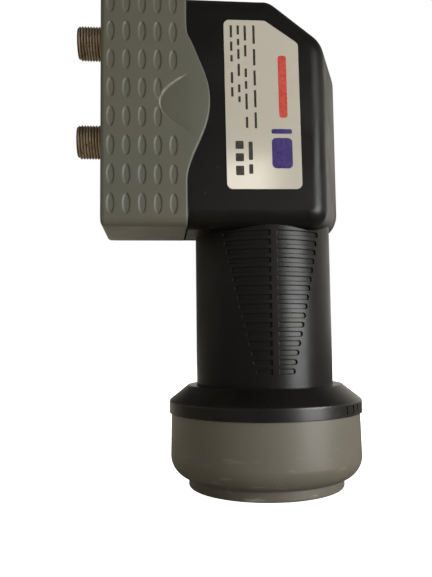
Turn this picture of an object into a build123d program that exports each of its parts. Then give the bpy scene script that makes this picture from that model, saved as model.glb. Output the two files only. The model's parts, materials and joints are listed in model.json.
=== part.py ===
from build123d import *
import os
from math import cos, hypot, pi, radians, sin, sqrt

os.makedirs("parts", exist_ok=True)

# Driving dimensions in millimetres. The horn axis is Z, the face of the feed cap is at Z = 0,
# the ports point along -X and the labelled front looks along -Y.

# Feed cap
face_inset = 5.2
face_step = 3.0
face_round = 0.5
cap_radius = 27.75
cap_draft = 0.25
cap_height = 21.2
cap_wall = 1.8
cap_edge_rise = 6.2
cap_shoulder = 0.7

# Ring between cap and neck
ring_overhang = 0.35
ring_band = 3.5
ring_cone = 4.3
ring_edge = 0.8
ring_rim = 2.6
ring_spigot_wall = 0.9
ring_spigot_depth = 5.5
ring_notch_count = 4
ring_notch_pitch = 7.0
ring_notch_start = 41.5
ring_notch_width = 1.0
ring_notch_depth = 0.4
ring_notch_height = 2.2
cap_seal_section = 0.7

# Neck, held by a 40 mm dish clamp
neck_radius = 20.0
neck_length = 42.8
neck_wall = 2.4

# Slots moulded in the neck
slot_rows = 16
slot_pitch = 2.5
slot_top_margin = 0.9
slot_height = 1.4
slot_depth = 0.5
slot_strip_angle = 2.7
slot_angle_top = 40.3
slot_angle_bottom = 13.4

# Housing, widest at the seam between its shells and drawn in by its flares at the front and back
housing_left = 45.0
housing_right = 23.3
housing_front = 22.2
housing_back = 20.2
housing_height = 65.0
housing_wall = 2.2
housing_edge = 5.5
housing_corner = 8.0
side_flare = 9.3
edge_flare = 0.2
cut_flare = 6.0
back_flare = 3.2
back_edge = 1.5
cut_run = 15.6
cut_drop = 12.0
cut_side_round = 10.0
cut_top_round = 8.4
corner_shrink = 0.4
core_edge = 0.7
seam_width = 0.4
seam_depth = 0.3

# Sliding weather cover
cover_wall = 1.6
cover_clearance = 0.3
cover_overhang = 1.15
cover_length = 22.75
cover_travel = 15.0
cover_rim = 0.45
cover_end_round = 1.2
bulge_reach = 6.2
bulge_half_height = 22.3
bulge_lift = 1.5
bulge_nose = 1.09
bulge_points = 9
lug_length = 1.8
lug_width = 10.0
lug_height = 1.0
lug_root = 0.6
lug_offset = 11.0

# Finger dimples and thumb recess of the cover
dimple_columns = 5
dimple_rows = 8
dimple_pitch_x = 4.12
dimple_pitch_z = 7.74
dimple_width = 2.1
dimple_length = 5.5
dimple_depth = 0.26
dimple_draft = 0.3
dimple_proud = 0.25
dimple_edge_margin = 3.55
dimple_lift = 0.45
thumb_depth = 0.9
thumb_reach = 7.2
thumb_curve = 8.0
thumb_lift = 0.7
thumb_run_out = 1.0

# Label on the front, stuck on slightly turned
label_width = 20.4
label_height = 46.9
label_cut_run = 9.1
label_cut_drop = 6.3
label_corner = 1.6
label_thickness = 0.2
label_right_margin = 15.9
label_bottom_margin = 10.35
label_turn = 0.55

# Output ports, 3/8 inch thread
port_radius = 4.7625
port_thread_length = 6.8
port_chamfer = 0.6
port_shoulder_radius = 5.0
port_shoulder_reach = 1.9
port_flange_radius = 6.2
port_flange = 1.2
port_shank_radius = 4.2
port_shank = 3.2
port_bore_radius = 3.6
port_offset_front = 9.0
port_top_margin = 9.4
port_spacing = 29.0
port_hole_play = 0.3
insulator_recess = 0.6
contact_radius = 0.65
contact_setback = 2.3
contact_tail_run = 3.0

# Cast horn, waveguide and tray
bore_radius = 9.5
tube_wall = 2.6
bore_end_height = 39.0
flange_play = 0.1
flange_thickness = 3.0
horn_mouth_radius = 13.5
horn_mouth_wall = 1.4
horn_mouth_gap = 3.0
horn_flare_length = 22.0
fin_wall = 1.2
fin_margin = 2.5
fin_count = 2
collar_height = 4.0
tray_wall = 4.0
tray_floor = 2.5
tray_depth = 4.3
tray_lift = 1.4
port_boss_depth = 9.5
port_boss_margin = 8.0

# Pieces on the tray
board_thickness = 1.6
lid_thickness = 1.5
screw_radius = 1.0
screw_head_radius = 1.8
screw_head_height = 1.2
screw_grip = 4.0
probe_radius = 0.6
probe_reach = 5.0
probe_bead_radius = 2.0
probe_height_front = 27.0
probe_height_side = 15.0
probe_turn_out = 4.0
isolation_radius = 0.8
isolation_height = 21.0
resonator_radius = 3.0
resonator_height = 2.0
resonator_offset = 24.0
resonator_heights = {"low_band": 19.0, "high_band": 36.0}
tuning_radius = 1.4
tuning_stand = 0.45
absorber_thickness = 1.0
absorber_width = 10.0
absorber_length = 24.0
absorber_offset = 2.0
absorber_height = 22.0

# Fits
fit_gap = 0.3
close_gap = 0.05
overcut = 1.0

# Places worked out from the dimensions
face_radius = cap_radius - face_inset
ring_radius = cap_radius + ring_overhang
spigot_outer = cap_radius - cap_draft - cap_wall - close_gap
spigot_inner = spigot_outer - ring_spigot_wall
flange_radius = spigot_inner - flange_play
horn_outer = horn_mouth_radius + horn_mouth_wall
fin_pitch = (flange_radius - horn_outer - fin_margin) / fin_count
ring_bottom = cap_height
ring_shoulder = ring_bottom + ring_band
ring_top = ring_shoulder + ring_cone
neck_inner = neck_radius - neck_wall
neck_bottom = ring_shoulder
housing_bottom = ring_top + neck_length
housing_top = housing_bottom + housing_height
housing_middle = housing_bottom + housing_height / 2
cover_step = cover_wall + cover_clearance
core_bottom = housing_bottom + cover_step
core_top = housing_top - cover_step
cover_left = -housing_left - cover_overhang
cover_right = cover_left + cover_length
shoulder_x = cover_right + cover_clearance
cover_front = -housing_front - cover_step
lug_seat = edge_flare * (lug_offset + lug_width / 2) / housing_front
tube_radius = bore_radius + tube_wall
tray_rear = -tube_radius + tray_floor - fit_gap
tray_face = tray_rear - tray_floor
tray_rim = tray_face - tray_depth
board_face = tray_face - board_thickness
lid_face = tray_rim - lid_thickness
tray_inset = housing_wall + fit_gap
port_y = -port_offset_front
port_seat = -housing_left + tray_inset
port_thread_start = -housing_left - port_shoulder_reach
port_tip = port_thread_start - port_thread_length
upper_port = housing_top - port_top_margin
port_places = {"upper": upper_port, "lower": upper_port - port_spacing}
port_hole_radius = port_flange_radius + port_hole_play


def block(x0, x1, y0, y1, z0, z1):
    corner = (Align.MIN, Align.MIN, Align.MIN)
    return Pos(x0, y0, z0) * Box(x1 - x0, y1 - y0, z1 - z0, align=corner)


def rod(start, end, radius):
    path = Vector(*end) - Vector(*start)
    place = Plane(origin=start, z_dir=path)
    return place * Cylinder(radius, path.length, align=(Align.CENTER, Align.CENTER, Align.MIN))


def ring_of(profile):
    return revolve(Plane.XZ * make_face(Polyline(*profile, close=True)), Axis.Z)


def slab(sketch, y0, y1):
    return extrude(Plane.XZ.offset(-y0) * sketch, amount=y1 - y0, dir=(0, 1, 0))


def cut_line(inset):
    # The cut corner as a straight line, moved in by the inset
    slope = cut_drop / cut_run
    start = housing_right - cut_run
    top = housing_top - inset * hypot(cut_run, cut_drop) / cut_run

    def height_at(x):
        return top - slope * (x - start)

    def reach_at(z):
        return start + (top - z) / slope

    return height_at, reach_at


def outline(left, low, high, inset, side, edge, cut):
    # Front view at one depth, where the side, the edges and the cut corner are drawn in
    right = housing_right - side - inset
    bottom = low + edge + inset
    top = high - edge - inset
    height_at, reach_at = cut_line(cut + inset)
    points = [(left, bottom), (right, bottom), (right, height_at(right)), (reach_at(top), top), (left, top)]
    shape = make_face(Polyline(*points, close=True))
    rounds = [(points[1], housing_corner), (points[2], cut_side_round), (points[3], cut_top_round)]
    for point, radius in rounds:
        vertex = shape.vertices().sort_by_distance((*point, 0))[0]
        shape = fillet(vertex, radius - corner_shrink * (cut + inset))
    return shape


def front_outline(left, low, high, inset):
    return outline(left, low, high, inset, side_flare, edge_flare, cut_flare)


def seam_outline(left, low, high, inset):
    return outline(left, low, high, inset, 0, 0, 0)


def back_outline(left, low, high, inset):
    return outline(left, low, high, inset, back_flare, back_flare, back_flare)


def at_depth(sketch, y):
    return (Plane.XZ.offset(-y) * sketch).face()


def flared_body(left, low, high, inset):
    # Two drafted halves that meet at the seam
    sizes = (left, low, high, inset)
    seam = at_depth(seam_outline(*sizes), 0)
    front = at_depth(front_outline(*sizes), -housing_front + inset)
    back = at_depth(back_outline(*sizes), housing_back - inset)
    return loft([front, seam], ruled=True) + loft([seam, back], ruled=True)


def section(grow, radius):
    # Core of the housing across the X axis, grown outwards for the cover that slides on it
    points = [
        (-housing_front, core_bottom + edge_flare),
        (0, core_bottom),
        (housing_back, core_bottom + back_flare),
        (housing_back, core_top - back_flare),
        (0, core_top),
        (-housing_front, core_top - edge_flare),
    ]
    shape = make_face(Polyline(*points, close=True))
    if grow:
        shape = offset(shape, grow, kind=Kind.INTERSECTION)
    corners = [vertex for vertex in shape.vertices() if abs(vertex.X) > housing_back / 2]
    return fillet(corners, radius)


def run_along_x(sketch, x0, x1):
    return extrude(Plane.YZ.offset(x0) * sketch, amount=x1 - x0)


def slot_cutter(row, side, facing):
    share = row / (slot_rows - 1)
    end_angle = slot_angle_top + (slot_angle_bottom - slot_angle_top) * share
    height = housing_bottom - slot_top_margin - row * slot_pitch
    low, high = height - slot_height / 2, height + slot_height / 2
    floor_radius = neck_radius - slot_depth
    outside = neck_radius + overcut
    wall = Plane.XZ * make_face(
        Polyline((floor_radius, low), (outside, low), (outside, high), (floor_radius, high), close=True)
    )
    # Angles are counted from the front or back line of the neck
    start = facing + side * slot_strip_angle
    end = facing + side * end_angle
    sweep_from = min(start, end)
    band = Rot(0, 0, sweep_from) * revolve(wall, Axis.Z, abs(end - start))
    turn = radians(end)
    tip = (floor_radius * cos(turn), floor_radius * sin(turn), height)
    rim = (outside * cos(turn), outside * sin(turn), height)
    return band + rod(tip, rim, slot_height / 2)


def neck_slots(facing):
    return [slot_cutter(row, side, facing) for row in range(slot_rows) for side in (-1, 1)]


def lug_groove(face, away):
    # Groove in the core that keeps the sliding cover from coming off
    right = shoulder_x
    left = cover_right - lug_length - cover_travel - cover_clearance
    half = lug_width / 2 + cover_clearance
    floor = face - away * lug_height
    low, high = sorted((floor, face + away * overcut))
    return block(left, right, -lug_offset - half, -lug_offset + half, low, high)


def seam_groove():
    # Narrow groove where the two shells meet, round the housing and down both sides of the neck
    half = seam_width / 2
    inside = seam_outline(shoulder_x - overcut, housing_bottom, housing_top, seam_depth)
    whole = seam_outline(shoulder_x, housing_bottom, housing_top, 0)
    rim = slab(whole, -half, half) - slab(inside, -half - overcut, half + overcut)
    sides = []
    for side in (-1, 1):
        near, far = sorted((side * (neck_radius - seam_depth), side * (neck_radius + overcut)))
        sides.append(block(near, far, -half, half, neck_bottom - overcut, housing_bottom))
    return [rim] + sides


def housing_shells():
    body = flared_body(shoulder_x, housing_bottom, housing_top, 0)
    ends = body.faces().sort_by(Axis.Y)
    front_rim = [edge for edge in ends[0].edges() if edge.center().X > shoulder_x + close_gap]
    body = fillet(front_rim, housing_edge)
    back_face = body.faces().sort_by(Axis.Y)[-1]
    body = fillet([edge for edge in back_face.edges() if edge.center().X > shoulder_x + close_gap], back_edge)
    core = run_along_x(section(0, core_edge), -housing_left, shoulder_x)
    neck_reach = housing_edge + overcut
    neck = rod((0, 0, neck_bottom), (0, 0, housing_bottom + neck_reach), neck_radius)
    cavity = flared_body(-housing_left + housing_wall, core_bottom, core_top, housing_wall)
    bore_top = core_bottom + housing_wall + back_flare + overcut
    bore = rod((0, 0, neck_bottom - overcut), (0, 0, bore_top), neck_inner)
    ports = [
        rod((-housing_left - overcut, port_y, z), (-housing_left + housing_wall + overcut, port_y, z),
            port_hole_radius)
        for z in port_places.values()
    ]
    grooves = [lug_groove(core_top - lug_seat, 1), lug_groove(core_bottom + lug_seat, -1)]
    shell = body + core + neck - cavity - bore - ports - grooves
    shell = shell - neck_slots(-90) - neck_slots(90) - seam_groove()
    reach = housing_left + housing_height + housing_top
    front_half = block(-reach, reach, -reach, 0, 0, reach)
    back_half = block(-reach, reach, 0, reach, 0, reach)
    return shell & front_half, shell & back_half


def bulge_outline():
    # Front edge of the cover, a cosine bell with a slightly blunt nose
    middle = housing_middle + bulge_lift
    points = []
    for step in range(bulge_points):
        share = 2 * step / (bulge_points - 1) - 1
        reach = bulge_reach * (1 + cos(pi * abs(share) ** bulge_nose)) / 2
        points.append((cover_right + reach, middle + share * bulge_half_height))
    return Spline(*points, tangents=[(0, 1), (0, 1)]), points[0], points[-1]


def thumb_cutter():
    # The recess deepens towards the ports and ends in a wall along a parabola for the thumb to push on
    middle = housing_middle + thumb_lift
    deep_x = cover_right - thumb_reach
    shallow_x = cover_right + thumb_run_out
    run = shallow_x + overcut - deep_x
    half = sqrt(thumb_curve * run)
    low = (deep_x + run, middle - half)
    high = (deep_x + run, middle + half)
    wall = Bezier(low, (deep_x - run, middle), high)
    plan = slab(make_face([wall, Line(high, low)]), cover_front - overcut, cover_front + thumb_depth)
    rise = thumb_depth / (shallow_x - deep_x)
    ramp = make_face(
        Polyline(
            (deep_x - overcut, cover_front + thumb_depth + rise * overcut),
            (shallow_x, cover_front),
            (shallow_x + overcut / rise, cover_front - overcut),
            (deep_x - overcut, cover_front - overcut),
            close=True,
        )
    )
    wedge = extrude(Plane.XY.offset(low[1] - overcut) * ramp, amount=2 * (half + overcut))
    return plan & wedge


def dimple_cutter(x, z):
    spread = dimple_draft / dimple_depth * dimple_proud
    wide = Ellipse(dimple_width / 2 + spread, dimple_length / 2 + spread)
    narrow = Ellipse(dimple_width / 2 - dimple_draft, dimple_length / 2 - dimple_draft)
    top = Plane.XZ.offset(-(cover_front - dimple_proud)) * Pos(x, z) * wide
    floor = Plane.XZ.offset(-(cover_front + dimple_depth)) * Pos(x, z) * narrow
    return loft([top.face(), floor.face()], ruled=True)


def dimple_places():
    # Rows beside the thumb recess lack their last dimple
    places = []
    middle = housing_middle + dimple_lift
    for row in range(dimple_rows):
        z = middle + (row - (dimple_rows - 1) / 2) * dimple_pitch_z
        for column in range(dimple_columns):
            x = cover_right - dimple_edge_margin - column * dimple_pitch_x
            beside_thumb = column == 0 and abs(z - middle) < dimple_pitch_z
            if not beside_thumb:
                places.append((x, z))
    return places


def weather_cover():
    outer = section(cover_step, core_edge + cover_step)
    inner = section(cover_clearance, core_edge + cover_clearance)
    sleeve = run_along_x(outer, cover_left, cover_right)
    sleeve = fillet(sleeve.faces().sort_by(Axis.X)[0].edges(), cover_end_round)
    edge, low, high = bulge_outline()
    back_x = cover_right - overcut
    bulge_face = make_face([edge, Polyline(high, (back_x, high[1]), (back_x, low[1]), low)])
    solid = sleeve + slab(bulge_face, cover_front, cover_front + cover_wall)
    solid = fillet(
        [
            e for e in solid.edges()
            if e.center().X > cover_right - close_gap and abs(e.center().Y - cover_front) < close_gap
        ],
        cover_rim,
    )
    solid = solid - run_along_x(inner, cover_left - overcut, cover_right + overcut)
    lug_x = cover_right - lug_length
    half = lug_width / 2
    reach = lug_seat + lug_height - cover_clearance
    top_lug = block(lug_x, cover_right, -lug_offset - half, -lug_offset + half,
                    core_top - reach, core_top + cover_clearance + lug_root)
    bottom_lug = block(lug_x, cover_right, -lug_offset - half, -lug_offset + half,
                       core_bottom - cover_clearance - lug_root, core_bottom + reach)
    solid = solid + top_lug + bottom_lug
    return solid - thumb_cutter() - [dimple_cutter(x, z) for x, z in dimple_places()]


def feed_cap():
    top_radius = cap_radius - cap_draft
    step_radius = face_radius + cap_shoulder
    outside = make_face(
        [
            Line((0, 0), (face_radius, 0)),
            Line((face_radius, 0), (face_radius, face_step)),
            Line((face_radius, face_step), (step_radius, face_step)),
            RadiusArc((step_radius, face_step), (cap_radius, face_step + cap_edge_rise), -cap_edge_rise),
            Line((cap_radius, face_step + cap_edge_rise), (top_radius, cap_height)),
            Line((top_radius, cap_height), (0, cap_height)),
            Line((0, cap_height), (0, 0)),
        ]
    )
    solid = revolve(Plane.XZ * outside, Axis.Z)
    foot = [e for e in solid.edges() if e.center().Z < close_gap]
    solid = fillet(foot, face_round)
    inner_low = face_step + cap_wall
    inner = top_radius - cap_wall
    low_inner = step_radius - cap_wall
    hollow = ring_of(
        [
            (0, inner_low),
            (low_inner, inner_low),
            (inner, inner_low + cap_edge_rise),
            (inner, cap_height + overcut),
            (0, cap_height + overcut),
        ]
    )
    return solid - hollow


def cap_ring():
    inner = neck_radius + close_gap
    solid = ring_of(
        [
            (spigot_inner, ring_bottom - ring_spigot_depth),
            (spigot_outer, ring_bottom - ring_spigot_depth),
            (spigot_outer, ring_bottom),
            (ring_radius, ring_bottom),
            (ring_radius, ring_shoulder),
            (inner + ring_rim, ring_top),
            (inner, ring_top),
            (inner, ring_shoulder),
            (spigot_inner, ring_shoulder),
        ]
    )
    widest = [e for e in solid.edges() if abs(e.center().Z - ring_shoulder) < close_gap
              and e.bounding_box().max.X > ring_radius - close_gap]
    solid = fillet(widest, ring_edge)
    groove_low = ring_bottom - ring_spigot_depth / 2 - cap_seal_section
    groove = ring_of(
        [
            (spigot_outer - cap_seal_section, groove_low),
            (spigot_outer + overcut, groove_low),
            (spigot_outer + overcut, groove_low + 2 * cap_seal_section),
            (spigot_outer - cap_seal_section, groove_low + 2 * cap_seal_section),
        ]
    )
    middle = ring_bottom + ring_band / 2
    notches = []
    for step in range(ring_notch_count):
        turn = ring_notch_start + step * ring_notch_pitch - 90
        depth = 2 * ring_notch_depth
        notch = Box(depth, ring_notch_width, ring_notch_height)
        notches.append(Rot(0, 0, turn) * Pos(ring_radius, 0, middle) * notch)
    return solid - groove - notches


def cap_seal():
    inner = spigot_outer - cap_seal_section + close_gap
    low = ring_bottom - ring_spigot_depth / 2 - cap_seal_section + close_gap
    high = low + 2 * (cap_seal_section - close_gap)
    return ring_of([(inner, low), (spigot_outer, low), (spigot_outer, high), (inner, high)])


def screw_places():
    # Corners of the tray rim, in the middle of its wall
    inset = tray_inset + tray_wall / 2
    height_at, reach_at = cut_line(cut_flare + inset)
    low = core_bottom + edge_flare + inset + tray_lift
    high = core_top - edge_flare - inset
    left = -housing_left + inset
    right = housing_right - side_flare - inset
    return [
        (left, low), (left, high), (reach_at(high) - tray_wall, high), (right, height_at(right) - tray_wall),
        (right, low + tray_wall),
    ]


def tray_outline(inset):
    return front_outline(-housing_left + inset, core_bottom + tray_lift, core_top, inset)


def contact_route(z):
    start = (port_tip + contact_setback, port_y, z)
    turn_x = port_seat + tray_wall + contact_tail_run
    return start, (turn_x, port_y, z), (turn_x, board_face - probe_radius, z)


def side_probe_route():
    z = core_bottom + probe_height_side
    turn_x = -tube_radius - probe_turn_out
    return (-bore_radius + probe_reach, 0, z), (turn_x, 0, z), (turn_x, board_face - probe_radius, z)


def horn_casting():
    collar = neck_inner - fit_gap
    bore_end = core_bottom + bore_end_height
    flange_top = neck_bottom
    flange_low = flange_top - flange_thickness
    mouth = face_step + cap_wall + horn_mouth_gap
    body = rod((0, 0, flange_low), (0, 0, bore_end + tube_wall), tube_radius)
    body = body + rod((0, 0, flange_low), (0, 0, flange_top), flange_radius)
    body = body + rod((0, 0, flange_top), (0, 0, flange_top + collar_height), collar)
    top_collar = core_bottom - collar_height
    body = body + rod((0, 0, top_collar - collar_height), (0, 0, top_collar), collar)
    body = body + rod((0, 0, mouth), (0, 0, flange_low), horn_outer)
    for step in range(fin_count):
        fin_inner = horn_outer + (step + 1) * fin_pitch - fin_wall
        fin = rod((0, 0, mouth), (0, 0, flange_low), fin_inner + fin_wall)
        body = body + (fin - rod((0, 0, mouth - overcut), (0, 0, flange_low), fin_inner))
    tray = slab(tray_outline(tray_inset), tray_rim, tray_rear)
    tray = tray - slab(tray_outline(tray_inset + tray_wall), tray_rim - overcut, tray_face)
    boss_low = min(port_places.values()) - port_boss_margin
    boss = block(port_seat, port_seat + tray_wall, tray_face, tray_face + port_boss_depth,
                 boss_low, core_top - edge_flare - tray_inset)
    bore = rod((0, 0, mouth - overcut), (0, 0, bore_end), bore_radius)
    flare = ring_of(
        [
            (0, mouth),
            (horn_mouth_radius, mouth),
            (bore_radius, mouth + horn_flare_length),
            (0, mouth + horn_flare_length),
        ]
    )
    body = body + tray + boss - bore - flare
    cuts = []
    for z in port_places.values():
        cuts.append(rod((port_seat - overcut, port_y, z), (port_seat + tray_wall + overcut, port_y, z),
                        port_shank_radius + close_gap))
        turn = contact_route(z)[2]
        cuts.append(rod((turn[0], tray_face - overcut, z), (turn[0], tray_rear + overcut, z),
                        contact_radius + fit_gap))
    bead_hole = probe_bead_radius + close_gap
    front_z = core_bottom + probe_height_front
    cuts.append(rod((0, tray_face - overcut, front_z), (0, 0, front_z), bead_hole))
    turn = side_probe_route()[1]
    cuts.append(rod(turn, (0, 0, turn[2]), bead_hole))
    cuts.append(rod((turn[0], tray_face - overcut, turn[2]), (turn[0], tray_rear + overcut, turn[2]),
                    probe_radius + fit_gap))
    pin_z = core_bottom + isolation_height
    cuts.append(rod((-tube_radius - overcut, 0, pin_z), (tube_radius + overcut, 0, pin_z),
                    isolation_radius + close_gap))
    for x, z in screw_places():
        cuts.append(rod((x, tray_rim - overcut, z), (x, tray_rim + screw_grip + fit_gap, z),
                        screw_radius + close_gap))
    return body - cuts


def circuit_board():
    board = slab(tray_outline(tray_inset + tray_wall + fit_gap), board_face, tray_face)
    cuts = []
    for z in port_places.values():
        x = contact_route(z)[2][0]
        cuts.append(rod((x, board_face - overcut, z), (x, tray_face + overcut, z), contact_radius + close_gap))
    tail = side_probe_route()[2]
    for x, z in ((0, core_bottom + probe_height_front), (tail[0], tail[2])):
        cuts.append(rod((x, board_face - overcut, z), (x, tray_face + overcut, z), probe_radius + close_gap))
    return board - cuts


def tuning_places():
    return [(-resonator_offset, core_bottom + height) for height in resonator_heights.values()]


def shield_lid():
    lid = slab(tray_outline(tray_inset), lid_face, tray_rim)
    cuts = [rod((x, lid_face - overcut, z), (x, tray_rim + overcut, z), screw_radius + close_gap)
            for x, z in screw_places()]
    cuts += [rod((x, lid_face - overcut, z), (x, tray_rim + overcut, z), tuning_radius + close_gap)
             for x, z in tuning_places()]
    return lid - cuts


def lid_screws():
    screws = []
    for x, z in screw_places():
        head = rod((x, lid_face - screw_head_height, z), (x, lid_face, z), screw_head_radius)
        shank = rod((x, lid_face, z), (x, tray_rim + screw_grip, z), screw_radius)
        screws.append(head + shank)
    return Compound(children=screws)


def tuning_screws():
    screws = []
    for x, z in tuning_places():
        screws.append(rod((x, lid_face - tuning_stand, z), (x, tray_rim + tuning_stand, z), tuning_radius))
    return Compound(children=screws)


def resonator(height):
    z = core_bottom + height
    return rod((-resonator_offset, board_face - resonator_height, z), (-resonator_offset, board_face, z),
               resonator_radius)


def absorber_pad():
    x, z = absorber_offset, core_bottom + absorber_height
    return block(x - absorber_width / 2, x + absorber_width / 2, tray_rim, tray_rim + absorber_thickness,
                 z - absorber_length / 2, z + absorber_length / 2)


def bent_wire(start, turn, end, radius):
    path = FilletPolyline(start, turn, end, radius=2 * radius)
    return sweep(Plane(origin=start, z_dir=path % 0) * Circle(radius), path)


def front_probe():
    z = core_bottom + probe_height_front
    return rod((0, board_face - probe_radius, z), (0, -bore_radius + probe_reach, z), probe_radius)


def probe_beads():
    hole = probe_radius + close_gap
    front_z = core_bottom + probe_height_front
    side_z = side_probe_route()[0][2]
    inner = -bore_radius
    front = rod((0, tray_face, front_z), (0, inner, front_z), probe_bead_radius)
    front = front - rod((0, tray_face - overcut, front_z), (0, inner + overcut, front_z), hole)
    side = rod((-tube_radius, 0, side_z), (inner, 0, side_z), probe_bead_radius)
    side = side - rod((-tube_radius - overcut, 0, side_z), (inner + overcut, 0, side_z), hole)
    return Compound(children=[front, side])


def isolation_pin():
    z = core_bottom + isolation_height
    return rod((-tube_radius, 0, z), (tube_radius, 0, z), isolation_radius)


def f_connector(z):
    flange_face = port_seat - port_flange
    body = rod((port_tip, port_y, z), (port_thread_start, port_y, z), port_radius)
    tip_rim = body.edges().sort_by(Axis.X)[0]
    body = chamfer(tip_rim, port_chamfer)
    body = body + rod((port_thread_start, port_y, z), (flange_face, port_y, z), port_shoulder_radius)
    body = body + rod((flange_face, port_y, z), (port_seat, port_y, z), port_flange_radius)
    body = body + rod((port_seat, port_y, z), (port_seat + port_shank, port_y, z), port_shank_radius)
    return body - rod((port_tip - overcut, port_y, z), (port_seat + port_shank + overcut, port_y, z),
                      port_bore_radius)


def connector_insulator(z):
    start = port_tip + insulator_recess
    end = port_seat + port_shank
    body = rod((start, port_y, z), (end, port_y, z), port_bore_radius - close_gap)
    return body - rod((start - overcut, port_y, z), (end + overcut, port_y, z), contact_radius + close_gap)


def port_seal(z):
    start = -housing_left
    end = port_seat - port_flange
    body = rod((start, port_y, z), (end, port_y, z), port_hole_radius - close_gap)
    return body - rod((start - overcut, port_y, z), (end + overcut, port_y, z), port_shoulder_radius + close_gap)


def rating_label():
    right = label_width / 2
    top = label_height / 2
    shape = make_face(
        Polyline(
            (-right, -top),
            (right, -top),
            (right, top - label_cut_drop),
            (right - label_cut_run, top),
            (-right, top),
            close=True,
        )
    )
    middle = (housing_right - label_right_margin - right, housing_bottom + label_bottom_margin + top)
    shape = Pos(*middle) * Rot(0, 0, label_turn) * fillet(shape.vertices(), label_corner)
    return slab(shape, -housing_front - label_thickness, -housing_front)


front_shell, rear_shell = housing_shells()
nodes = {
    "front_shell": front_shell,
    "rear_shell": rear_shell,
    "weather_cover": weather_cover(),
    "feed_cap": feed_cap(),
    "cap_ring": cap_ring(),
    "cap_seal": cap_seal(),
    "horn_casting": horn_casting(),
    "circuit_board": circuit_board(),
    "shield_lid": shield_lid(),
    "lid_screws": lid_screws(),
    "tuning_screws": tuning_screws(),
    "absorber_pad": absorber_pad(),
    "front_probe": front_probe(),
    "side_probe": bent_wire(*side_probe_route(), probe_radius),
    "probe_beads": probe_beads(),
    "isolation_pin": isolation_pin(),
    "rating_label": rating_label(),
}
for name, height in resonator_heights.items():
    nodes[name + "_resonator"] = resonator(height)
for name, z in port_places.items():
    nodes["f_connector_" + name] = f_connector(z)
    nodes["insulator_" + name] = connector_insulator(z)
    nodes["contact_" + name] = bent_wire(*contact_route(z), contact_radius)
    nodes["port_seal_" + name] = port_seal(z)

for name, solid in nodes.items():
    export_step(solid, f"parts/{name}.step")
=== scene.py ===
import json
from math import cos, hypot, pi, radians, sin

import bpy
from mathutils import Matrix, Vector


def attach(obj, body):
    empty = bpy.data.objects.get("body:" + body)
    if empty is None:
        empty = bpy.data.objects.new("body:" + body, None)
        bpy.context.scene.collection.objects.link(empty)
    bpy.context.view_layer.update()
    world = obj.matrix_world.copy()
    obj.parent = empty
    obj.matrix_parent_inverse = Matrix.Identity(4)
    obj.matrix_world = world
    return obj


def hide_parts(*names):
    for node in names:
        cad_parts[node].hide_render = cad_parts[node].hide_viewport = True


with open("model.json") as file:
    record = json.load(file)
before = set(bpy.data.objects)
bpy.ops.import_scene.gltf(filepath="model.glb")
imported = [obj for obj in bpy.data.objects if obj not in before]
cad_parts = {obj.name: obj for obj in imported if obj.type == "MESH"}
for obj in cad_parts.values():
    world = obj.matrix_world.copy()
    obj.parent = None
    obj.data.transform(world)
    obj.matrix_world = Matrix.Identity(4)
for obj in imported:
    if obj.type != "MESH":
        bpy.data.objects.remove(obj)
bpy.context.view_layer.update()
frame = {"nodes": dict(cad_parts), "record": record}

nodes = frame["nodes"]
mm = 0.001
white = (1, 1, 1)
bpy.ops.object.select_all(action="DESELECT")
bpy.context.scene.view_settings.view_transform = "Standard"
print("frame loaded:", len(nodes), "nodes")


# camera at the photograph's place
viewer = {
    "place": (-0.03055, -0.18307, 0.04235),
    "up": 4.66, "turn": -5.14, "roll": 0.68,  # degrees
    "lens": 38.51, "sensor": 36.0, "nearest": 5 * mm,
}


def addCamera(v):
    up, turn, roll = radians(v["up"]), radians(v["turn"]), radians(v["roll"])
    ahead = Vector((-sin(turn) * cos(up), cos(turn) * cos(up), sin(up)))
    level = Vector((cos(turn), sin(turn), 0))
    over = level.cross(ahead)
    right = level * cos(roll) - over * sin(roll)
    top = over * cos(roll) + level * sin(roll)
    data = bpy.data.cameras.new("camera")
    data.lens = v["lens"]
    data.sensor_width = v["sensor"]
    data.clip_start = v["nearest"]
    camera = bpy.data.objects.new("camera", data)
    bpy.context.collection.objects.link(camera)
    m = Matrix((right, top, -ahead)).transposed().to_4x4()
    m.translation = Vector(v["place"])
    camera.matrix_world = m
    bpy.context.scene.camera = camera


addCamera(viewer)
print("camera set")


# a low window at the right, dimmer towards its top, a pale wall in front,
# and soft fill from above and behind that leaves no highlights
lamps = {
    "window": {"place": (0.34, -0.32, 0.062), "aim": (0, 0, 0.062),
               "wide": 0.26, "tall": 0.15, "watts": 2.2, "mirrored": True},
    "windowTop": {"place": (0.34, -0.32, 0.217), "aim": (0, 0, 0.217),
                  "wide": 0.26, "tall": 0.16, "watts": 0.85, "mirrored": True},
    "wall": {"place": (0.060, -0.52, 0.135), "aim": (0.060, 0, 0.135),
             "wide": 0.072, "tall": 0.21, "watts": 0.082, "mirrored": True},
    "fillAbove": {"place": (-0.05, 0.05, 0.80), "aim": (0, 0, 0.10),
                  "wide": 0.40, "tall": 0.40, "watts": 2.4, "mirrored": False},
    "fillBehind": {"place": (-0.30, 0.58, 0.30), "aim": (0, 0, 0.08),
                   "wide": 0.50, "tall": 0.50, "watts": 3.8, "mirrored": False},
}


def addLamp(name, light):
    data = bpy.data.lights.new(name, "AREA")
    data.shape = "RECTANGLE"
    data.size = light["wide"]
    data.size_y = light["tall"]
    data.energy = light["watts"]
    lamp = bpy.data.objects.new(name, data)
    bpy.context.collection.objects.link(lamp)
    lamp.location = light["place"]
    way = Vector(light["aim"]) - lamp.location
    lamp.rotation_euler = way.to_track_quat("-Z", "Y").to_euler()
    lamp.visible_glossy = light["mirrored"]


for name, light in lamps.items():
    addLamp(name, light)


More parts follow.
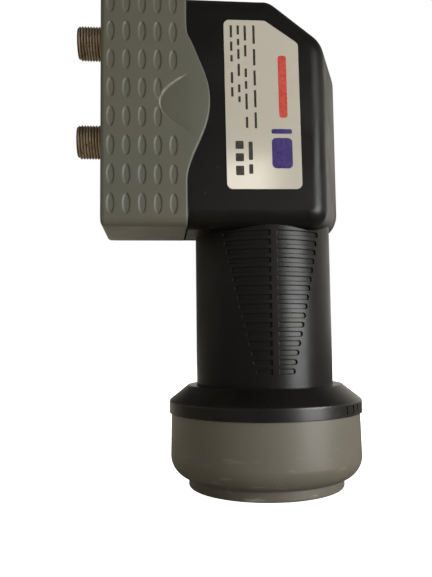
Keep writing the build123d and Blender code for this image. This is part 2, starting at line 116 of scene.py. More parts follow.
# small helpers for the node trees
def wire(tree, value, socket):
    if hasattr(value, "is_linked"):
        tree.links.new(value, socket)
    elif isinstance(value, tuple):
        socket.default_value = (*value, 1)
    else:
        socket.default_value = value


def combine(tree, kind, first, second):
    n = tree.nodes.new("ShaderNodeMath")
    n.operation = kind
    wire(tree, first, n.inputs[0])
    wire(tree, second, n.inputs[1])
    return n.outputs[0]


def fade(tree, value, low, high, start=0.0, end=1.0):
    n = tree.nodes.new("ShaderNodeMapRange")
    wire(tree, value, n.inputs["Value"])
    for key, number in (("From Min", low), ("From Max", high), ("To Min", start), ("To Max", end)):
        n.inputs[key].default_value = number
    return n.outputs["Result"]


def tint(tree, share, first, second):
    n = tree.nodes.new("ShaderNodeMix")
    n.data_type = "RGBA"
    wire(tree, share, n.inputs[0])
    wire(tree, first, n.inputs[6])  # 6 and 7 are the two colours, and output 2 is the mixed one
    wire(tree, second, n.inputs[7])
    return n.outputs[2]


def turned(tree, place, turn=(0, 0, 0), stretch=(1, 1, 1)):
    n = tree.nodes.new("ShaderNodeMapping")
    wire(tree, place, n.inputs["Vector"])
    n.inputs["Rotation"].default_value = turn
    n.inputs["Scale"].default_value = stretch
    return n.outputs["Vector"]


def noise(tree, place, scale, detail):
    n = tree.nodes.new("ShaderNodeTexNoise")
    wire(tree, place, n.inputs["Vector"])
    n.inputs["Scale"].default_value = scale
    n.inputs["Detail"].default_value = detail
    return n.outputs["Fac"]


def patches(tree, place, made, start=0.0, end=1.0):
    scale, detail, low, high = made  # of the noise, and where on it a patch starts and is full
    return fade(tree, noise(tree, place, scale, detail), low, high, start, end)


def newFinish(name, metallic=0.0, specular=0.5):
    finish = bpy.data.materials.new(name)
    finish.use_nodes = True
    tree = finish.node_tree
    shader = tree.nodes["Principled BSDF"]
    shader.inputs["Metallic"].default_value = metallic
    shader.inputs["Specular IOR Level"].default_value = specular
    place = tree.nodes.new("ShaderNodeTexCoord").outputs["Object"]
    return finish, tree, shader, place


# how edges and crevices are found: the rays sent out, and where a share starts and is full
finder = {"edgeRays": 4, "edgeTurn": (0.985, 0.88), "creviceRays": 8, "creviceSky": (0.85, 0.45)}


def roundedNormal(tree, reach):
    n = tree.nodes.new("ShaderNodeBevel")
    n.samples = finder["edgeRays"]
    n.inputs["Radius"].default_value = reach
    return n.outputs["Normal"]


def edgeShare(tree, reach):
    here = tree.nodes.new("ShaderNodeNewGeometry")
    n = tree.nodes.new("ShaderNodeVectorMath")
    n.operation = "DOT_PRODUCT"
    wire(tree, roundedNormal(tree, reach), n.inputs[0])
    wire(tree, here.outputs["Normal"], n.inputs[1])
    return fade(tree, n.outputs["Value"], *finder["edgeTurn"])


def creviceShare(tree, reach):
    n = tree.nodes.new("ShaderNodeAmbientOcclusion")
    n.samples = finder["creviceRays"]
    n.only_local = True
    n.inputs["Distance"].default_value = reach
    return fade(tree, n.outputs["AO"], *finder["creviceSky"])


def relief(tree, shader, height, strength, depth, rounding=0.0):
    n = tree.nodes.new("ShaderNodeBump")
    n.inputs["Strength"].default_value = strength
    n.inputs["Distance"].default_value = depth
    wire(tree, height, n.inputs["Height"])
    if rounding:
        wire(tree, roundedNormal(tree, rounding), n.inputs["Normal"])
    wire(tree, n.outputs["Normal"], shader.inputs["Normal"])


# room light: white behind the object at the right, dimmer at the left, dark on the viewer's side
room = {
    "front": 0.12, "frontMirrored": 0.06, "right": 1.0, "left": 0.50, "leftBehind": 0.30,
    "onSurfaces": 0.9, "warmth": (1.0, 0.95, 0.86),
    "rightWay": (0.75, 0.65),
    # where each share starts and is full, along a direction of length 1
    "toRight": (0.35, 0.9), "toLeft": (-0.05, -0.35), "toBack": (0.2, 0.7), "toHorizon": (0.76, 0.10),
}


def buildRoom(r):
    world = bpy.data.worlds.new("studio")
    bpy.context.scene.world = world
    world.use_nodes = True
    tree = world.node_tree
    shade = tree.nodes["Background"]
    way = tree.nodes.new("ShaderNodeSeparateXYZ")
    wire(tree, tree.nodes.new("ShaderNodeTexCoord").outputs["Generated"], way.inputs[0])
    x, y, z = way.outputs
    rays = tree.nodes.new("ShaderNodeLightPath").outputs
    wire(tree, tint(tree, rays["Is Camera Ray"], r["warmth"], white), shade.inputs["Color"])
    rightX, rightY = r["rightWay"]
    turn = combine(tree, "ADD", combine(tree, "MULTIPLY", x, rightX), combine(tree, "MULTIPLY", y, rightY))
    atRight = fade(tree, turn, *r["toRight"], r["frontMirrored"], r["right"])
    atLeft = fade(tree, x, *r["toLeft"], r["frontMirrored"], r["left"])
    atLeft = combine(tree, "MULTIPLY", atLeft, fade(tree, y, *r["toBack"], 1.0, r["leftBehind"]))
    level = combine(tree, "MAXIMUM", atRight, atLeft)
    level = combine(tree, "MULTIPLY", level, fade(tree, z, *r["toHorizon"]))
    mirrored = combine(tree, "ADD", rays["Is Glossy Ray"], rays["Is Transmission Ray"])
    least = fade(tree, mirrored, 0, 1, r["front"], r["frontMirrored"])
    level = combine(tree, "MAXIMUM", level, least)
    level = combine(tree, "MULTIPLY", level, fade(tree, mirrored, 0, 1, r["onSurfaces"], 1.0))
    level = combine(tree, "MAXIMUM", level, rays["Is Camera Ray"])
    wire(tree, level, shade.inputs["Strength"])


buildRoom(room)


# pale paper under the object, white to the camera and duller to the surfaces above it
paper = {
    "size": 6.0, "drop": 0.02 * mm,
    "pale": 0.9, "paleSpread": 0.015, "fibres": (900, 4, 0.3, 0.7),
    "dullLeft": (0.92, 0.83, 0.68), "dullRight": (0.17, 0.155, 0.13),
    "glow": 0.96, "bounceLeft": 0.28, "bounceRight": 0.02, "mirrored": 0.62, "mirroredFarLeft": 0.25,
    # where each share starts and is full, in metres
    "toRight": (-0.14, 0.02), "toBack": (0.05, 0.25), "fromFarLeft": (-0.19, -0.11),
}


def layPaper(p):
    bpy.ops.mesh.primitive_plane_add(size=p["size"], location=(0, 0, -p["drop"]))
    floor = bpy.context.object
    floor.name = "paperFloor"
    floor.select_set(False)
    finish = bpy.data.materials.new("whitePaper")
    finish.use_nodes = True
    tree = finish.node_tree
    tree.nodes.remove(tree.nodes["Principled BSDF"])
    rays = tree.nodes.new("ShaderNodeLightPath").outputs
    place = tree.nodes.new("ShaderNodeTexCoord").outputs["Object"]
    across = tree.nodes.new("ShaderNodeSeparateXYZ")
    wire(tree, place, across.inputs[0])
    x, y = across.outputs["X"], across.outputs["Y"]
    atRight = fade(tree, x, *p["toRight"])

    low, high = p["pale"] - p["paleSpread"], p["pale"] + p["paleSpread"]
    color = patches(tree, place, p["fibres"], low, high)
    color = tint(tree, rays["Is Glossy Ray"], color, p["dullRight"])
    dull = tint(tree, atRight, p["dullLeft"], p["dullRight"])
    color = tint(tree, rays["Is Diffuse Ray"], color, dull)
    soft = tree.nodes.new("ShaderNodeBsdfDiffuse")
    wire(tree, color, soft.inputs["Color"])

    bounce = fade(tree, atRight, 0, 1, p["bounceLeft"], p["bounceRight"])
    bounce = combine(tree, "MULTIPLY", rays["Is Diffuse Ray"], bounce)
    mirrored = combine(tree, "MULTIPLY", rays["Is Glossy Ray"], fade(tree, y, *p["toBack"]))
    farLeft = fade(tree, x, *p["fromFarLeft"], p["mirroredFarLeft"], 1.0)
    mirrored = combine(tree, "MULTIPLY", mirrored, farLeft)
    mirrored = combine(tree, "MULTIPLY", mirrored, fade(tree, atRight, 0, 1, p["mirrored"], 0.0))
    shown = combine(tree, "MULTIPLY", rays["Is Camera Ray"], p["glow"])
    shine = combine(tree, "MAXIMUM", shown, combine(tree, "MAXIMUM", bounce, mirrored))
    glow = tree.nodes.new("ShaderNodeEmission")
    wire(tree, shine, glow.inputs["Strength"])
    wire(tree, tint(tree, rays["Is Camera Ray"], p["dullLeft"], white), glow.inputs["Color"])

    both = tree.nodes.new("ShaderNodeAddShader")
    wire(tree, soft.outputs[0], both.inputs[0])
    wire(tree, glow.outputs[0], both.inputs[1])
    wire(tree, both.outputs[0], tree.nodes["Material Output"].inputs["Surface"])
    floor.data.materials.append(finish)


layPaper(paper)
print("light and floor set")


# satin black housing plastic with a thin brown dust, and painted shade darkening its crevices
blackPlastic = {
    "housingBlack": {"gloss": 0.215, "rough": 0.34, "dusty": 0.18},
    "ringBlack": {"gloss": 0.48, "rough": 0.30, "dusty": 0.08},
    "deep": (0.0045, 0.0042, 0.0038), "worn": (0.0072, 0.0068, 0.0062), "wear": (70, 4),
    "dust": (0.040, 0.034, 0.026), "film": (32, 6, 0.50, 0.78),
    "speck": (0.13, 0.11, 0.085), "specks": (620, 0, 0.82, 0.87), "speckAreas": (24, 2, 0.52, 0.62),
    "specksPerDust": 4,
    "edge": (0.032, 0.030, 0.027), "edgeReach": 0.35 * mm, "edgeMost": 0.4,
    "creviceShadeAndDirt": (0.0045, 0.004, 0.0035), "creviceReach": 0.5 * mm,
    "roughPatches": (110, 4, 0.3, 0.7), "roughSpread": 0.04,
    "grain": (2600, 2), "grainStrength": 0.35, "grainDepth": 0.03 * mm, "rounding": 0.3 * mm,
}


def blackPlasticFinish(b, which):
    own = b[which]
    finish, tree, shader, place = newFinish(which, specular=own["gloss"])
    color = tint(tree, noise(tree, place, *b["wear"]), b["deep"], b["worn"])
    film = patches(tree, place, b["film"], 0.0, own["dusty"])
    color = tint(tree, film, color, b["dust"])
    areas = patches(tree, place, b["speckAreas"])
    specks = patches(tree, place, b["specks"], 0.0, b["specksPerDust"] * own["dusty"])
    color = tint(tree, combine(tree, "MULTIPLY", areas, specks), color, b["speck"])
    edges = combine(tree, "MULTIPLY", edgeShare(tree, b["edgeReach"]), b["edgeMost"])
    color = tint(tree, edges, color, b["edge"])
    # painted shade: the colour darkens where crevices close in; the same share roughens them like dull
    # dirt
    creviceShadeAndDirt = creviceShare(tree, b["creviceReach"])
    color = tint(tree, creviceShadeAndDirt, color, b["creviceShadeAndDirt"])
    wire(tree, color, shader.inputs["Base Color"])
    low, high = own["rough"] - b["roughSpread"], own["rough"] + b["roughSpread"]
    rough = combine(tree, "ADD", patches(tree, place, b["roughPatches"], low, high), film)
    rough = combine(tree, "MAXIMUM", rough, creviceShadeAndDirt)
    wire(tree, rough, shader.inputs["Roughness"])
    grain = noise(tree, place, *b["grain"])
    relief(tree, shader, grain, b["grainStrength"], b["grainDepth"], b["rounding"])
    return finish


# painted highlight along the rim of the cover's thumb recess, pale where the rim's wall catches the light,
# most at its top
thumbRimHighlight = {
    "rimHighlight": (0.41, 0.40, 0.335), "tip": -30.6 * mm, "middle": 105.0 * mm, "curve": 8 * mm,
    # where the painted highlight starts and is full: off the rim's line, behind its tip and above its
    # middle
    "offLine": (1.1 * mm, 0.5 * mm), "behind": (7.5 * mm, 5 * mm), "above": (-4.5 * mm, 2.5 * mm),
    "lowest": 0.06, "edgeReach": 0.5 * mm,
}


# share of the painted highlight along the thumb recess rim
def paintedRimHighlight(tree, across, up, t):
    off = combine(tree, "SUBTRACT", up, t["middle"])
    bend = combine(tree, "DIVIDE", combine(tree, "MULTIPLY", off, off), t["curve"])
    inside = combine(tree, "SUBTRACT", combine(tree, "SUBTRACT", across, t["tip"]), bend)
    rimHighlight = fade(tree, combine(tree, "ABSOLUTE", inside, 0), *t["offLine"])
    start, full = (t["tip"] + distance for distance in t["behind"])
    rimHighlight = combine(tree, "MULTIPLY", rimHighlight, fade(tree, across, start, full))
    rimHighlight = combine(tree, "MULTIPLY", rimHighlight, fade(tree, off, *t["above"], t["lowest"], 1.0))
    return combine(tree, "MULTIPLY", rimHighlight, edgeShare(tree, t["edgeReach"]))


# satin olive gray plastic of the cover and the cap
grayPlastic = {
    # painted shade: the cover's colours are the cap's same gray plastic made darker
    "coverGrayShaded": ((0.083, 0.085, 0.065), (0.098, 0.100, 0.078)),
    "capGray": ((0.116, 0.110, 0.085), (0.134, 0.129, 0.102)),
    "gloss": 0.42, "mottle": (55, 4),
    "dust": (0.100, 0.080, 0.055), "film": (26, 6, 0.45, 0.75), "dusty": 0.55,
    "scuff": (0.30, 0.285, 0.25), "scuffHeight": (15 * mm, 3 * mm), "scuffMost": 0.7,
    "strokes": (150, 5, 0.60, 0.72), "strokeTurn": (0.2, 0.5, 0.3), "strokeStretch": (1.0, 1.0, 6.0),
    "specks": (1500, 0, 0.83, 0.88), "speckMost": 0.35,
    "edge": (0.15, 0.145, 0.118), "edgeReach": 0.4 * mm, "edgeMost": 0.16,
    "roughPatches": (95, 4, 0.3, 0.7), "rough": (0.38, 0.48),
    "grain": (2300, 2), "grainStrength": 0.4, "grainDepth": 0.035 * mm, "rounding": 0.5 * mm,
}


def grayPlasticFinish(g, which):
    finish, tree, shader, place = newFinish(which, specular=g["gloss"])
    color = tint(tree, noise(tree, place, *g["mottle"]), *g[which])
    film = patches(tree, place, g["film"], 0.0, g["dusty"])
    color = tint(tree, film, color, g["dust"])
    parts = tree.nodes.new("ShaderNodeSeparateXYZ")
    wire(tree, place, parts.inputs[0])
    across, up = parts.outputs["X"], parts.outputs["Z"]
    along = turned(tree, place, g["strokeTurn"], g["strokeStretch"])
    strokes = patches(tree, along, g["strokes"], 0.0, g["scuffMost"])
    scuffs = combine(tree, "MULTIPLY", fade(tree, up, *g["scuffHeight"]), strokes)
    color = tint(tree, scuffs, color, g["scuff"])
    color = tint(tree, patches(tree, place, g["specks"], 0.0, g["speckMost"]), color, g["scuff"])
    edges = combine(tree, "MULTIPLY", edgeShare(tree, g["edgeReach"]), g["edgeMost"])
    color = tint(tree, edges, color, g["edge"])
    if which == "coverGrayShaded":
        # painted highlight on the thumb recess rim
        color = tint(tree, paintedRimHighlight(tree, across, up, thumbRimHighlight), color, thumbRimHighlight["rimHighlight"])
    wire(tree, color, shader.inputs["Base Color"])
    rough = combine(tree, "ADD", patches(tree, place, g["roughPatches"], *g["rough"]), scuffs)
    wire(tree, rough, shader.inputs["Roughness"])
    grain = noise(tree, place, *g["grain"])
    relief(tree, shader, grain, g["grainStrength"], g["grainDepth"], g["rounding"])
    return finish


# satin silver film of the label
silverFilm = {
    "base": (0.565, 0.535, 0.455), "warm": (0.62, 0.575, 0.485), "mottle": (45, 3),
    "soil": (0.42, 0.37, 0.29), "soiled": (90, 6, 0.58, 0.80), "soilMost": 0.35,
    "metallic": 0.32, "roughPatches": (160, 4, 0.3, 0.7), "rough": (0.09, 0.14),
    "waves": (75, 1), "waveStrength": 0.12, "waveDepth": 0.05 * mm, "rounding": 0.1 * mm,
}


def silverFilmFinish(s):
    finish, tree, shader, place = newFinish("silverFilmFinish", metallic=s["metallic"])
    color = tint(tree, noise(tree, place, *s["mottle"]), s["base"], s["warm"])
    color = tint(tree, patches(tree, place, s["soiled"], 0.0, s["soilMost"]), color, s["soil"])
    wire(tree, color, shader.inputs["Base Color"])
    wire(tree, patches(tree, place, s["roughPatches"], *s["rough"]), shader.inputs["Roughness"])
    waves = noise(tree, place, *s["waves"])
    relief(tree, shader, waves, s["waveStrength"], s["waveDepth"], s["rounding"])
    return finish


# ink on the film
inks = {
    "violetInk": ((0.026, 0.014, 0.105), (0.05, 0.03, 0.16)),
    "redInk": ((0.42, 0.040, 0.028), (0.52, 0.085, 0.06)),
    "darkInk": ((0.020, 0.017, 0.012), (0.05, 0.045, 0.035)),
    "thinPlaces": (1400, 4, 0.35, 0.75),
    "roughPatches": (300, 3, 0.3, 0.7), "rough": (0.26, 0.4),
    "grain": (1800, 2), "grainStrength": 0.1, "grainDepth": 0.02 * mm,
}


def inkFinish(k, which):
    finish, tree, shader, place = newFinish(which)
    wire(tree, tint(tree, patches(tree, place, k["thinPlaces"]), *k[which]), shader.inputs["Base Color"])
    wire(tree, patches(tree, place, k["roughPatches"], *k["rough"]), shader.inputs["Roughness"])
    relief(tree, shader, noise(tree, place, *k["grain"]), k["grainStrength"], k["grainDepth"])
    return finish


# dull nickel plate, brown where it is tarnished, with dark tarnish spots, and painted shade between the
# threads
platedBrass = {
    "bright": (0.92, 0.78, 0.63), "brown": (0.56, 0.435, 0.30), "dark": (0.12, 0.085, 0.052),
    "tarnish": (230, 5, 0.35, 0.70), "tarnishMost": 0.7,
    "spots": (520, 4, 0.60, 0.80), "spotMost": 0.6, "crestUnshaded": 0.75,
    "metalPatches": (330, 4, 0.35, 0.65), "metallic": (0.90, 0.62),
    "roughPatches": (700, 4, 0.3, 0.7), "rough": (0.24, 0.46),
    "grain": (3500, 3), "grainStrength": 0.25, "grainDepth": 0.03 * mm,
}


def platedBrassFinish(p):
    finish, tree, shader, place = newFinish("platedBrassFinish")
    crest = tree.nodes.new("ShaderNodeAttribute")
    crest.attribute_name = "crest"
    tarnish = patches(tree, place, p["tarnish"], 0.0, p["tarnishMost"])
    color = tint(tree, tarnish, p["bright"], p["brown"])
    color = tint(tree, patches(tree, place, p["spots"], 0.0, p["spotMost"]), color, p["dark"])
    # painted shade: the colour turns dark towards the thread roots
    color = tint(tree, fade(tree, crest.outputs["Fac"], 0.0, p["crestUnshaded"]), p["dark"], color)
    wire(tree, color, shader.inputs["Base Color"])
    wire(tree, patches(tree, place, p["metalPatches"], *p["metallic"]), shader.inputs["Metallic"])
    wire(tree, patches(tree, place, p["roughPatches"], *p["rough"]), shader.inputs["Roughness"])
    relief(tree, shader, noise(tree, place, *p["grain"]), p["grainStrength"], p["grainDepth"])
    return finish


# rough die-cast alloy
castAlloy = {
    "gray": (0.40, 0.40, 0.39), "light": (0.62, 0.62, 0.60), "mottle": (120, 6),
    "stain": (0.30, 0.29, 0.27), "stained": (30, 5, 0.55, 0.75), "stainMost": 0.5,
    "roughPatches": (400, 5, 0.3, 0.7), "rough": (0.42, 0.62),
    "grain": (1500, 5), "grainStrength": 0.5, "grainDepth": 0.06 * mm, "rounding": 0.3 * mm,
}


def castAlloyFinish(c):
    finish, tree, shader, place = newFinish("castAlloyFinish", metallic=1.0)
    color = tint(tree, noise(tree, place, *c["mottle"]), c["gray"], c["light"])
    color = tint(tree, patches(tree, place, c["stained"], 0.0, c["stainMost"]), color, c["stain"])
    wire(tree, color, shader.inputs["Base Color"])
    wire(tree, patches(tree, place, c["roughPatches"], *c["rough"]), shader.inputs["Roughness"])
    grain = noise(tree, place, *c["grain"])
    relief(tree, shader, grain, c["grainStrength"], c["grainDepth"], c["rounding"])
    return finish


# green laminate with bare copper tracks
laminate = {
    "green": (0.012, 0.075, 0.030), "light": (0.022, 0.105, 0.045), "mottle": (180, 4),
    "copper": (0.55, 0.33, 0.12), "trackAreas": (60, 1, 0.45, 0.5), "trackOffset": 0.37,
    "tracks": {"Scale": 95.0, "Mortar Size": 0.035, "Mortar Smooth": 0.1, "Brick Width": 0.62,
               "Row Height": 0.29},
    "trackStrength": 0.4, "trackDepth": 0.04 * mm,
    "roughPatches": (300, 3, 0.3, 0.7), "rough": (0.24, 0.38),
}


def laminateFinish(b):
    finish, tree, shader, place = newFinish("laminateFinish")
    tracks = tree.nodes.new("ShaderNodeTexBrick")
    tracks.offset = b["trackOffset"]
    for key, number in b["tracks"].items():
        tracks.inputs[key].default_value = number
    wire(tree, turned(tree, place, (radians(90), 0, 0)), tracks.inputs["Vector"])
    green = tint(tree, noise(tree, place, *b["mottle"]), b["green"], b["light"])
    areas = patches(tree, place, b["trackAreas"])
    bare = combine(tree, "MULTIPLY", tracks.outputs["Fac"], areas)
    wire(tree, tint(tree, bare, green, b["copper"]), shader.inputs["Base Color"])
    wire(tree, bare, shader.inputs["Metallic"])
    wire(tree, patches(tree, place, b["roughPatches"], *b["rough"]), shader.inputs["Roughness"])
    relief(tree, shader, bare, b["trackStrength"], b["trackDepth"])
    return finish


# zinc-plated steel, turned brass
turnedMetal = {
    "screwSteelFinish": ((0.56, 0.56, 0.55), (0.40, 0.39, 0.37)),
    "bareBrassFinish": ((0.72, 0.50, 0.20), (0.50, 0.33, 0.12)),
    "mottle": (240, 5),
    "marks": (900, 3), "markStretch": (1, 14, 1), "markRange": (0.3, 0.7), "rough": (0.2, 0.4),
    "markStrength": 0.2, "markDepth": 0.02 * mm,
}


def turnedMetalFinish(t, which):
    finish, tree, shader, place = newFinish(which, metallic=1.0)
    color = tint(tree, noise(tree, place, *t["mottle"]), *t[which])
    wire(tree, color, shader.inputs["Base Color"])
    marks = noise(tree, turned(tree, place, stretch=t["markStretch"]), *t["marks"])
    wire(tree, fade(tree, marks, *t["markRange"], *t["rough"]), shader.inputs["Roughness"])
    relief(tree, shader, marks, t["markStrength"], t["markDepth"])
    return finish


# plain moulded and fired pieces inside
moulded = {
    "whitePlasticFinish": {"first": (0.74, 0.72, 0.67), "second": (0.66, 0.63, 0.57),
                           "rough": 0.45, "grain": 1800, "grainDepth": 0.02 * mm},
    "puckCeramicFinish": {"first": (0.56, 0.45, 0.32), "second": (0.46, 0.36, 0.25),
                          "rough": 0.6, "grain": 2600, "grainDepth": 0.05 * mm},
    "softRubberFinish": {"first": (0.010, 0.010, 0.010), "second": (0.017, 0.016, 0.015),
                         "rough": 0.65, "grain": 2200, "grainDepth": 0.04 * mm},
    "mottle": (190, 4), "roughPatches": (260, 4, 0.3, 0.7), "roughSpread": 0.08,
    "grainDetail": 3, "grainStrength": 0.4,
}


def mouldedFinish(d, which):
    own = d[which]
    finish, tree, shader, place = newFinish(which)
    color = tint(tree, noise(tree, place, *d["mottle"]), own["first"], own["second"])
    wire(tree, color, shader.inputs["Base Color"])
    low, high = own["rough"] - d["roughSpread"], own["rough"] + d["roughSpread"]
    wire(tree, patches(tree, place, d["roughPatches"], low, high), shader.inputs["Roughness"])
    grain = noise(tree, place, own["grain"], d["grainDetail"])
    relief(tree, shader, grain, d["grainStrength"], own["grainDepth"])
    return finish


finishes = {
    "black_plastic": blackPlasticFinish(blackPlastic, "housingBlack"),
    "gray_plastic": grayPlasticFinish(grayPlastic, "coverGrayShaded"),
    "silver_film": silverFilmFinish(silverFilm),
    "plated_brass": platedBrassFinish(platedBrass),
    "cast_alloy": castAlloyFinish(castAlloy),
    "board": laminateFinish(laminate),
    "screw_steel": turnedMetalFinish(turnedMetal, "screwSteelFinish"),
    "bare_brass": turnedMetalFinish(turnedMetal, "bareBrassFinish"),
    "white_plastic": mouldedFinish(moulded, "whitePlasticFinish"),
    "puck_ceramic": mouldedFinish(moulded, "puckCeramicFinish"),
    "soft_rubber": mouldedFinish(moulded, "softRubberFinish"),
}
slotOf = {part["node"]: part["material_slot"] for part in frame["record"]["subparts"]}
for name, o in nodes.items():
    o.data.materials.clear()
    o.data.materials.append(finishes[slotOf[name]])
print("finishes set:", len(finishes))


def useOnly(piece):
    bpy.ops.object.select_all(action="DESELECT")
    piece.select_set(True)
    bpy.context.view_layer.objects.active = piece


def settle(piece, body, finish):
    piece.data.materials.clear()
    piece.data.materials.append(finish)
    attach(piece, body)
    piece.select_set(False)


# outer shells with merged, evenly shaded skins
capGray = grayPlasticFinish(grayPlastic, "capGray")
ringBlack = blackPlasticFinish(blackPlastic, "ringBlack")
skinMerge = 0.002 * mm
skins = {
    "front_shell": {"body": "housing", "angle": 28},
    "rear_shell": {"body": "housing", "angle": 28},
    "cap_ring": {"body": "housing", "angle": 28, "finish": ringBlack},
    "feed_cap": {"body": "housing", "angle": 28, "finish": capGray},
    "weather_cover": {"body": "cover", "angle": 24},
}

# a face is on a turned wall if its corners lie at one large radius and it looks to or from the axis
turnedWall = {"spread": 0.01 * mm, "facing": 0.3, "smallest": 15 * mm}


def roundNormals(mesh, w):
    # faces that lie on a turned wall get its true round normals
    normals = [n.vector.copy() for n in mesh.corner_normals]
    for face in mesh.polygons:
        corners = [mesh.vertices[i].co for i in face.vertices]
        radii = [hypot(c.x, c.y) for c in corners]
        away = Vector((face.center.x, face.center.y, 0)).normalized().dot(face.normal)
        level = max(radii) - min(radii) < w["spread"]
        if level and abs(away) > w["facing"] and max(radii) > w["smallest"]:
            for loop, c in zip(face.loop_indices, corners):
                out = Vector((c.x, c.y, 0)).normalized()
                normals[loop] = out if away > 0 else -out
    mesh.normals_split_custom_set(normals)


def addSkin(node, s):
    piece = bpy.data.objects.new(node + "Skin", nodes[node].data.copy())
    bpy.context.collection.objects.link(piece)
    useOnly(piece)
    bpy.ops.mesh.customdata_custom_splitnormals_clear()
    bpy.ops.object.mode_set(mode="EDIT")
    bpy.ops.mesh.select_all(action="SELECT")
    bpy.ops.mesh.remove_doubles(threshold=skinMerge)
    bpy.ops.object.mode_set(mode="OBJECT")
    bpy.ops.object.shade_smooth_by_angle(angle=radians(s["angle"]))
    even = piece.modifiers.new("even", "WEIGHTED_NORMAL")
    even.keep_sharp = True
    bpy.ops.object.modifier_apply(modifier="even")
    roundNormals(piece.data, turnedWall)
    settle(piece, s["body"], s.get("finish", finishes[slotOf[node]]))
    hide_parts(node)


for node, s in skins.items():
    addSkin(node, s)
print("shell skins made:", len(skins))


# side ports with a real 3/8-32 thread, in millimetres
port = {
    "axisY": -9.0, "heights": {"upper": 127.4, "lower": 98.4},
    "pitch": 0.794, "crest": 4.76, "root": 4.30, "turns": 9,
    "rootFrom": 0.9, "flank": 0.7,  # in parts of half a pitch
    "threadEnd": -53.62, "runOut": 0.75,
    # X and radius of each step, from the tip's bore over the outside to the bore's far end
    "steps": ((-53.70, 3.60), (-53.70, 4.12), (-53.58, 4.27), (-46.90, 4.29), (-46.90, 4.85),
              (-46.75, 5.00), (-43.70, 5.00), (-43.70, 6.05), (-43.55, 6.20), (-42.65, 6.20),
              (-42.50, 6.05), (-42.50, 4.20), (-39.45, 4.20), (-39.30, 4.05), (-39.30, 3.60)),
    "sides": 64, "profileCuts": 5, "merge": 0.001, "smoothAngle": 32,
}


def turnedBody(p, z):
    startX, startR = p["steps"][0]
    center = (startX * mm, p["axisY"] * mm, z * mm)
    bpy.ops.mesh.primitive_circle_add(vertices=p["sides"], radius=startR * mm, location=center,
                                      rotation=(0, radians(90), 0))
    body = bpy.context.object
    bpy.ops.object.transform_apply(location=True, rotation=True, scale=True)
    bpy.ops.object.mode_set(mode="EDIT")
    bpy.ops.mesh.select_all(action="SELECT")
    loop = p["steps"] + p["steps"][:1]
    for (fromX, fromR), (toX, toR) in zip(loop, loop[1:]):
        bpy.ops.mesh.extrude_edges_move(TRANSFORM_OT_translate={"value": ((toX - fromX) * mm, 0, 0)})
        grow = toR / fromR
        bpy.ops.transform.resize(value=(1, grow, grow), center_override=center)
    bpy.ops.mesh.select_all(action="SELECT")
    bpy.ops.mesh.remove_doubles(threshold=p["merge"] * mm)
    bpy.ops.mesh.normals_make_consistent(inside=False)
    bpy.ops.object.mode_set(mode="OBJECT")
    return body


def threadWrap(p, z):
    bpy.ops.mesh.primitive_plane_add(size=p["pitch"] * mm, location=(0, 0, 0))
    wrap = bpy.context.object
    bpy.ops.object.mode_set(mode="EDIT")
    bpy.ops.mesh.select_all(action="DESELECT")
    bpy.ops.object.mode_set(mode="OBJECT")
    for v in wrap.data.vertices:
        v.select = v.co.y > 0
    bpy.ops.object.mode_set(mode="EDIT")
    bpy.ops.mesh.delete(type="VERT")  # one edge stays, a pitch long
    bpy.ops.mesh.select_all(action="SELECT")
    bpy.ops.mesh.subdivide(number_cuts=p["profileCuts"])
    bpy.ops.object.mode_set(mode="OBJECT")
    half = p["pitch"] * mm / 2
    for v in wrap.data.vertices:
        t = abs(v.co.x) / half  # 0 at the crest, 1 at the root
        lift = min(1.0, max(0.0, (p["rootFrom"] - t) / p["flank"]))
        v.co.y = 0
        v.co.z = (p["root"] + (p["crest"] - p["root"]) * lift) * mm
    turn = wrap.modifiers.new("turn", "SCREW")
    turn.axis = "X"
    turn.angle = 2 * pi
    turn.screw_offset = p["pitch"] * mm
    turn.iterations = p["turns"]
    turn.steps = turn.render_steps = p["sides"]
    turn.use_merge_vertices = True
    turn.merge_threshold = p["merge"] * mm
    bpy.ops.object.modifier_apply(modifier="turn")
    low = min(v.co.x for v in wrap.data.vertices)
    high = max(v.co.x for v in wrap.data.vertices)
    root, runOut = p["root"] * mm, p["runOut"] * mm
    for v in wrap.data.vertices:  # the thread fades into the core at both ends
        depth = min(1.0, (v.co.x - low) / runOut, (high - v.co.x) / runOut)
        radius = hypot(v.co.y, v.co.z)
        shrink = (root + (radius - root) * max(0.0, depth)) / radius
        v.co.y *= shrink
        v.co.z *= shrink
    wrap.location = (p["threadEnd"] * mm - low, p["axisY"] * mm, z * mm)
    bpy.ops.object.transform_apply(location=True, rotation=True, scale=True)
    bpy.ops.object.mode_set(mode="EDIT")
    bpy.ops.mesh.select_all(action="SELECT")
    bpy.ops.mesh.normals_make_consistent(inside=False)
    bpy.ops.object.mode_set(mode="OBJECT")
    return wrap


def addPort(p, which):
    z = p["heights"][which]
    body = turnedBody(p, z)
    wrap = threadWrap(p, z)
    useOnly(body)
    wrap.select_set(True)
    bpy.ops.object.join()
    piece = bpy.context.object
    piece.name = which + "Port"
    bpy.ops.object.shade_smooth_by_angle(angle=radians(p["smoothAngle"]))
    crest = piece.data.attributes.new("crest", "FLOAT", "POINT")
    for v, mark in zip(piece.data.vertices, crest.data):
        radius = hypot(v.co.y / mm - p["axisY"], v.co.z / mm - z)
        mark.value = (radius - p["root"]) / (p["crest"] - p["root"])
    settle(piece, "housing", finishes["plated_brass"])
    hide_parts("f_connector_" + which)


for which in port["heights"]:
    addPort(port, which)
print("threaded ports made")


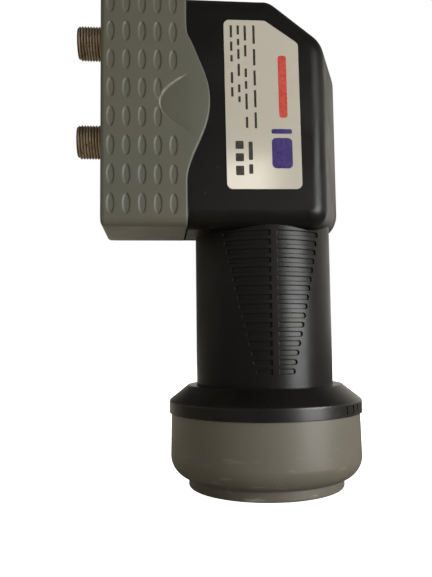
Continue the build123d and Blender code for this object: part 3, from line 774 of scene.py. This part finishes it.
# plain print on the label: a violet block, a red stripe and dark dashes, in millimetres
labelPrint = {
    "middle": (-2.8, 105.6), "turn": 0.55, "face": -22.4, "thickness": 0.03, "cornerSteps": 4,
    # across and up from the label's middle, width, height, corner
    "violet": ((5.0, -13.6, 5.6, 8.4, 1.2), (5.0, -7.6, 5.6, 1.3, 0.4)),
    "red": ((5.6, 4.9, 2.3, 17.4, 0.7),),
    "squares": ((-6.6, -11.4, 2.2, 2.2, 0.3), (-6.6, -14.8, 2.2, 2.2, 0.3),
                (-6.6, -18.4, 2.2, 2.6, 0.3), (-3.6, -13.0, 1.1, 5.0, 0.2),
                (-3.6, -18.0, 1.1, 2.6, 0.2)),
}

# rows of dashes: across, then up and length of each dash
bars = {
    "width": 0.62, "corner": 0.12,
    "rows": {
        -8.2: ((20.2, 3.4), (16.0, 2.6), (12.6, 1.8), (7.2, 3.0), (3.2, 2.6)),
        -6.3: ((20.6, 2.6), (17.2, 1.8), (13.8, 2.8), (9.4, 3.4), (4.2, 2.2), (1.2, 1.6)),
        -4.4: ((19.8, 4.2), (14.8, 3.2), (8.6, 2.4), (5.2, 2.2), (0.6, 4.4), (-5.2, 3.0)),
        -2.0: ((19.4, 5.2), (13.0, 4.6), (7.2, 4.2), (1.4, 4.8), (-4.6, 4.4)),
    },
}


def inkPatch(d, across, up, width, height, corner):
    bpy.ops.mesh.primitive_plane_add(size=1, location=(0, 0, 0), rotation=(radians(90), 0, 0))
    patch = bpy.context.object
    patch.scale = (width * mm, height * mm, 1)
    patch.location = (across * mm, 0, up * mm)
    bpy.ops.object.transform_apply(location=True, rotation=True, scale=True)
    bpy.ops.object.mode_set(mode="EDIT")
    bpy.ops.mesh.select_all(action="SELECT")
    bpy.ops.mesh.bevel(offset=corner * mm, segments=d["cornerSteps"], affect="VERTICES")
    bpy.ops.mesh.select_all(action="SELECT")
    outward = (0, -d["thickness"] * mm, 0)
    bpy.ops.mesh.extrude_region_move(TRANSFORM_OT_translate={"value": outward})
    bpy.ops.mesh.select_all(action="SELECT")
    bpy.ops.mesh.normals_make_consistent(inside=False)
    bpy.ops.object.mode_set(mode="OBJECT")
    return patch


def addPrint(name, d, patchList, finish):
    made = [inkPatch(d, *patch) for patch in patchList]
    useOnly(made[0])
    for patch in made:
        patch.select_set(True)
    bpy.ops.object.join()
    piece = bpy.context.object
    piece.name = name
    piece.rotation_euler = (0, -radians(d["turn"]), 0)
    piece.location = (d["middle"][0] * mm, d["face"] * mm, d["middle"][1] * mm)
    bpy.ops.object.transform_apply(location=True, rotation=True, scale=True)
    settle(piece, "housing", finish)


dashes = [(across, up, bars["width"], length, bars["corner"])
          for across, row in bars["rows"].items() for up, length in row]
darkMarks = dashes + list(labelPrint["squares"])
addPrint("labelBlock", labelPrint, labelPrint["violet"], inkFinish(inks, "violetInk"))
addPrint("labelStripe", labelPrint, labelPrint["red"], inkFinish(inks, "redInk"))
addPrint("labelDashes", labelPrint, darkMarks, inkFinish(inks, "darkInk"))
print("label print made")
